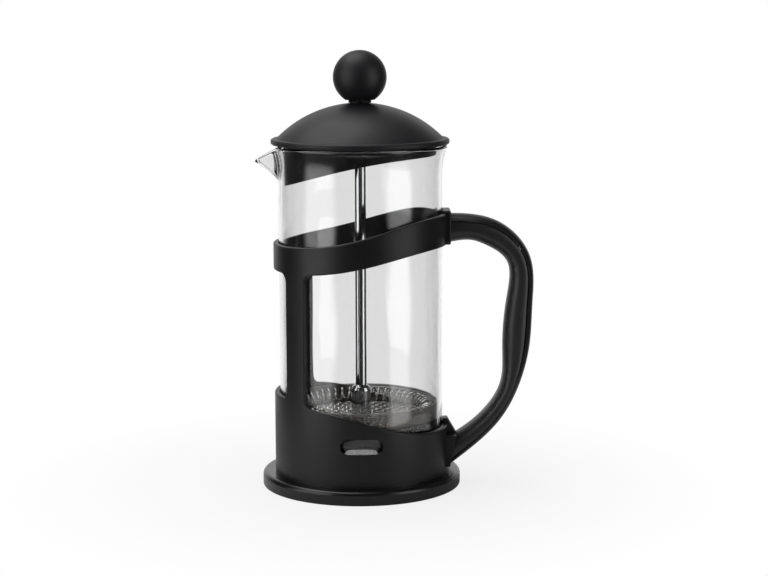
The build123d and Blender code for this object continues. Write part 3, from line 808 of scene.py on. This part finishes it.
@dataclass
class Plunger:
    """The knob, the rod and the filter stack, with a round-wire coil, burred holes and a cup of woven cloth.

    Sizes are in millimetres.
    """

    # Turns of the coil, width of its wire and of the coil itself, and radius and height of its ring
    turns: int = 50
    wire: float = 0.9
    coil: float = 6.2
    coil_ring: float = 28.95
    coil_level: float = 33.1
    wire_sides: int = 10
    turn_steps: int = 28
    # Outer radius and wall of the cup of cloth, and radii of its corner and of the hole in its middle
    screen_radius: float = 32.65
    screen_wall: float = 0.35
    screen_corner: float = 2.2
    screen_bore: float = 4.2
    hem: float = 0.7
    # How far the hem rolls over, in degrees, and how far below its top the inner wall starts, in its radii
    hem_turn: float = 250.0
    hem_drop: float = 2.4
    base_steps: int = 24
    corner_steps: int = 8
    wall_steps: int = 10
    inner_steps: int = 8
    hem_steps: int = 12
    screen_sides: int = 240
    # Rings of holes, radius of the first and step to the next, and holes of the first and gain of the next
    hole_rings: int = 5
    first_ring: float = 9.0
    ring_pitch: float = 3.8
    ring_holes: int = 14
    ring_gain: int = 6
    # Inner radius of a hole's collar, how far it spreads, where in that its crest lies and its bell's width
    burr_bore: float = 1.07
    burr_spread: float = 0.8
    burr_crest: float = 0.28
    burr_width: float = 0.35
    burr_height: float = 0.6
    burr_sink: float = 0.1
    burr_points: int = 7
    burr_sides: int = 20
    finishes: dict[str, Finish] = field(default_factory=lambda: {
        "knob": LID_PLASTIC,
        "knob_insert": INSERT_BRASS,
        "rod": ROD_CHROME,
        "rod_hub": ROD_CHROME,
        "cross_plate": PLATE_STEEL,
        "cross_nut": PLATE_STEEL,
        "spiral_plate": PIERCED_STEEL,
    })

    def coil_grid(self) -> np.ndarray:
        """Tube along a helix that is wound round a ring.

        The helix point is the ring's point plus a small circle in the ring's radial plane. The tube's
        section turns on that circle's radius, squared up to the wire's direction. The ends close on
        their middles.

        Returns:
            Grid of steps by wire sides by three.
        """
        turn = np.linspace(0, self.turns, self.turns * self.turn_steps + 1)
        sweep = TURN * (self.turns - 1) / self.turns * turn / self.turns
        wind = TURN * turn[:, None]
        out = np.stack([np.cos(sweep), np.sin(sweep), 0 * sweep], -1)
        spoke = out * np.cos(wind) + UP * np.sin(wind)
        path = out * self.coil_ring + UP * self.coil_level + spoke * (self.coil - self.wire) / 2
        way = np.gradient(path, axis=0)
        way /= np.linalg.norm(way, axis=1, keepdims=True)
        first = spoke - way * np.sum(spoke * way, 1, keepdims=True)
        first /= np.linalg.norm(first, axis=1, keepdims=True)
        second = np.cross(way, first)
        face = np.linspace(0, TURN, self.wire_sides, endpoint=False)[:, None]
        rim = np.cos(face) * first[:, None] + np.sin(face) * second[:, None]
        return close_ends(path[:, None] + self.wire / 2 * rim)

    def burr_grid(self) -> np.ndarray:
        """Collar round every hole of the plate, turned about the hole's middle.

        Its section is a bell curve of the distance from the hole's edge, with its foot sunk in the plate.
        Holes stand evenly round rings that are evenly spaced.

        Returns:
            Grids of the collars one after the other: holes by sides by section points by three.
        """
        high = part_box("spiral_plate")[1].z / MM
        clear = np.linspace(0, self.burr_spread, self.burr_points)
        rise = self.burr_height * np.exp(-((clear - self.burr_crest) / self.burr_width) ** 2)
        crown = np.stack([self.burr_bore + clear, high + rise], -1)
        foot = np.stack([crown[[-1, 0], 0], np.full(2, high - self.burr_sink)], -1)
        collar = lathe(np.concatenate([crown, foot]), self.burr_sides)
        ring = np.arange(self.hole_rings)
        count = self.ring_holes + ring * self.ring_gain
        reach = np.repeat(self.first_ring + ring * self.ring_pitch, count)
        angle = np.concatenate([np.linspace(0, TURN, holes, endpoint=False) for holes in count])
        middle = np.stack([reach * np.cos(angle), reach * np.sin(angle), 0 * angle], -1)
        return middle[:, None, None] + collar

    def screen_grid(self) -> tuple[np.ndarray, np.ndarray]:
        """Turns the cup's section: out along the base, round the corner, up the wall and over a rolled hem.

        Then it comes back down inside. On the base the pattern runs along X and Y, and on the wall it
        runs round the cup and along the section.

        Returns:
            The grid, and the place of each of its points on the pattern.
        """
        low, high = (corner.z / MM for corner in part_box("mesh_screen"))
        outer, bore = self.screen_radius, self.screen_bore
        inner = outer - self.screen_wall
        edge = outer - self.screen_corner
        bend = low + self.screen_corner
        roll = self.hem / 2
        section = np.concatenate([
            np.linspace((bore, low), (edge, low), self.base_steps)[:-1],
            arc((edge, bend), self.screen_corner, -90, 0, self.corner_steps),
            np.linspace((outer, bend), (outer, high - roll), self.wall_steps)[1:],
            arc((outer - roll, high - roll), roll, 0, self.hem_turn, self.hem_steps)[1:],
            np.linspace((inner, high - self.hem_drop * roll), (inner, bend), self.inner_steps),
            arc((edge, bend), self.screen_corner - self.screen_wall, 0, -90, self.corner_steps)[1:],
            np.linspace((edge, low + self.screen_wall), (bore, low + self.screen_wall), self.base_steps)[1:],
        ])
        length = np.concatenate([[0], np.cumsum(np.linalg.norm(np.diff(section, axis=0), axis=1))])
        grid = lathe(section, self.screen_sides)
        grid = np.concatenate([grid, grid[:1]])
        around = np.linspace(0, TURN * outer, self.screen_sides + 1)
        wrapped = np.stack(np.meshgrid(around, length, indexing="ij"), -1)
        on_base = (section[:, 0] < edge + TINY)[:, None]
        return grid, np.where(on_base, grid[..., :2], wrapped)

    def build(self) -> None:
        """Makes the coil and the cloth in place of their CAD nodes, adds the burrs and dresses the rest."""
        dress_nodes(self.finishes)
        coil = mesh_from_grid("filter_coil", self.coil_grid(), around=False, closed=True)
        settle(coil, SPRING_STEEL, "plunger", "spiral_spring")
        burrs = mesh_from_grid("plate_burrs", self.burr_grid(), around=True, closed=True)
        settle(burrs, PIERCED_STEEL, "plunger")
        grid, places = self.screen_grid()
        cloth = mesh_from_grid("filter_cloth", grid, around=False, closed=True, spots=places)
        settle(cloth, WIRE_CLOTH, "plunger", "mesh_screen")


@dataclass(frozen=True)
class Softbox:
    """One large studio lamp that looks at a point, with sizes in metres.

    Its core is the half width, as a share of the whole, that glows evenly.
    """

    name: str
    place: tuple[float, float, float]
    target: tuple[float, float, float]
    width: float
    height: float
    watts: float
    core: float = 0.25

    def build(self) -> None:
        """Makes the lamp, turned to its target, with a glow that falls off from its core to its edges."""
        data = bpy.data.lights.new(self.name, "AREA")
        data.shape = "RECTANGLE"
        data.size, data.size_y = self.width, self.height
        data.energy = self.watts
        data.use_nodes = True
        tree = data.node_tree
        tree.nodes.clear()
        spot = add(tree, "ShaderNodeNewGeometry").outputs["Parametric"]
        middle = (FACE_MIDDLE, FACE_MIDDLE, 0.0)
        off = add(tree, "ShaderNodeVectorMath", {0: spot, 1: middle}, operation="SUBTRACT")
        apart = add(tree, "ShaderNodeVectorMath", {0: off.outputs["Vector"]}, operation="ABSOLUTE")
        sides = add(tree, "ShaderNodeSeparateXYZ", {"Vector": apart.outputs["Vector"]}).outputs
        across, along = (add(tree, "ShaderNodeMapRange", {
            "Value": sides[axis], "From Min": self.core, "From Max": FACE_MIDDLE,
            "To Min": 1.0, "To Max": 0.0},
            interpolation_type="SMOOTHSTEP").outputs["Result"] for axis in ("X", "Y"))
        glow = add(tree, "ShaderNodeMath", {0: across, 1: along}, operation="MULTIPLY")
        cloth = add(tree, "ShaderNodeEmission", {"Strength": glow.outputs["Value"]})
        add(tree, "ShaderNodeOutputLight", {"Surface": cloth.outputs["Emission"]})
        lamp = bpy.data.objects.new(self.name, data)
        bpy.context.scene.collection.objects.link(lamp)
        lamp.location = self.place
        lamp.rotation_euler = (Vector(self.target) - Vector(self.place)).to_track_quat("-Z", "Y").to_euler()


@dataclass
class Studio:
    """Pale floor, white surround, soft lamps and the camera, with places in metres and turns in degrees."""

    floor_rings: tuple[float, ...] = (0.0, 0.05, 0.1, 0.17)
    floor_sink_mm: float = 0.02
    floor_sides: int = 96
    floor_colour: str = "#dcdcdc"
    # Distance from the middle, and the share of white that shows on the floor there
    floor_near: tuple[float, float] = (0.05, 0.82)
    floor_away: tuple[float, float] = (0.16, 1.0)
    # How far a way points to the back, from zero to one, and the level of the surround there
    surround_side: tuple[float, float] = (0.60, 0.04)
    surround_back: tuple[float, float] = (0.95, 1.0)
    eye: tuple[float, float, float] = (0.0, -0.8226, 0.21256)
    sensor_mm: float = 36.0
    lens_mm: float = 90.81
    pitch: float = 8.807
    yaw: float = 0.695
    roll: float = -0.175
    lamps: tuple[Softbox, ...] = (
        Softbox("top_softbox", (-0.35, 0.15, 1.25), (0.0, 0.0, 0.1), width=1.5, height=1.4, watts=21.0),
        Softbox("left_softbox", (-1.00, -0.58, 0.30), (0.0, 0.0, 0.15), width=1.3, height=1.9, watts=15.5),
        Softbox("right_softbox", (0.95, -0.60, 0.25), (0.0, 0.0, 0.15), width=0.9, height=1.9, watts=10.5),
    )

    def straight_sight(self, tree: bpy.types.NodeTree) -> bpy.types.NodeSocket:
        """Marks what is seen straight or through clear glass alone, so that glass shows the white surround.

        Args:
            tree: Node tree of the floor or the world.

        Returns:
            Socket that is one for such a ray, and zero once it has been reflected or scattered.
        """
        path = add(tree, "ShaderNodeLightPath").outputs
        turned = add(tree, "ShaderNodeMath", {
            0: path["Diffuse Depth"], 1: path["Glossy Depth"]}, operation="ADD")
        clear = add(tree, "ShaderNodeMath", {0: turned.outputs[0], 1: NO_BOUNCE}, operation="LESS_THAN")
        through = add(tree, "ShaderNodeMath", {0: clear.outputs[0], 1: path["Is Transmission Ray"]},
                      operation="MULTIPLY")
        return add(tree, "ShaderNodeMath", {0: through.outputs[0], 1: path["Is Camera Ray"]},
                   operation="MAXIMUM").outputs[0]

    def floor_material(self) -> bpy.types.Material:
        """Pale matt floor that shows nearly white to straight sight, with some shadow left near the object.

        Returns:
            The new material.
        """
        material, tree = blank_material("pale_studio_floor")
        place = add(tree, "ShaderNodeTexCoord").outputs["Object"]
        away = add(tree, "ShaderNodeVectorMath", {0: place}, operation="LENGTH")
        open_floor = add(tree, "ShaderNodeMapRange", {
            "Value": away.outputs["Value"], "From Min": self.floor_near[0], "From Max": self.floor_away[0],
            "To Min": self.floor_near[1], "To Max": self.floor_away[1]})
        share = add(tree, "ShaderNodeMath", {0: self.straight_sight(tree), 1: open_floor.outputs["Result"]},
                    operation="MULTIPLY")
        matt = add(tree, "ShaderNodeBsdfDiffuse", {"Color": linear(self.floor_colour)})
        glow = add(tree, "ShaderNodeEmission", {"Color": linear("#ffffff"), "Strength": 1.0})
        mix = add(tree, "ShaderNodeMixShader", {0: share.outputs[0], 1: matt.outputs[0], 2: glow.outputs[0]})
        add(tree, "ShaderNodeOutputMaterial", {"Surface": mix.outputs[0]})
        return material

    def world(self) -> None:
        """Surround that is white to straight sight and behind the object, and dim on its other sides."""
        world = bpy.data.worlds.new("white_surround")
        bpy.context.scene.world = world
        world.use_nodes = True
        tree = world.node_tree
        tree.nodes.clear()
        way = add(tree, "ShaderNodeSeparateXYZ", {0: add(tree, "ShaderNodeTexCoord").outputs["Generated"]})
        fade = add(tree, "ShaderNodeMapRange", {
            "Value": way.outputs["Y"], "From Min": self.surround_side[0], "From Max": self.surround_back[0],
            "To Min": self.surround_side[1], "To Max": self.surround_back[1]},
            interpolation_type="SMOOTHSTEP")
        level = add(tree, "ShaderNodeMix", {
            "Factor": self.straight_sight(tree), "A": fade.outputs["Result"], "B": 1.0})
        sky = add(tree, "ShaderNodeBackground", {
            "Color": linear("#ffffff"), "Strength": level.outputs["Result"]})
        add(tree, "ShaderNodeOutputWorld", {"Surface": sky.outputs["Background"]})

    def build(self) -> None:
        """Makes floor, surround, lamps and camera."""
        rings = np.array(self.floor_rings) / MM
        profile = np.stack([rings, np.full_like(rings, -self.floor_sink_mm)], -1)
        floor = mesh_from_grid("studio_floor", lathe(profile, self.floor_sides), around=True, closed=False)
        floor.data.materials.append(self.floor_material())
        self.world()
        for lamp in self.lamps:
            lamp.build()
        data = bpy.data.cameras.new("photo_camera")
        data.sensor_width = self.sensor_mm
        data.lens = self.lens_mm
        camera = bpy.data.objects.new("photo_camera", data)
        bpy.context.scene.collection.objects.link(camera)
        turn = (Matrix.Rotation(math.radians(-self.yaw), 4, "Z")
                @ Matrix.Rotation(math.radians(90 - self.pitch), 4, "X")
                @ Matrix.Rotation(math.radians(self.roll), 4, "Z"))
        camera.matrix_world = Matrix.Translation(self.eye) @ turn
        bpy.context.scene.camera = camera
        bpy.context.scene.view_settings.view_transform = "Standard"
        log.info("set up the studio with %d lamps", len(self.lamps))


def main() -> None:
    """Builds the sub-assemblies in order and sets up the studio."""
    logging.basicConfig(level=logging.INFO, format="%(message)s")
    for assembly in (CarryFrame(), Beaker(), Lid(), Plunger(), Studio()):
        log.info("%s", type(assembly).__name__)
        assembly.build()
    bpy.context.view_layer.update()


if __name__ == "__main__":
    main()
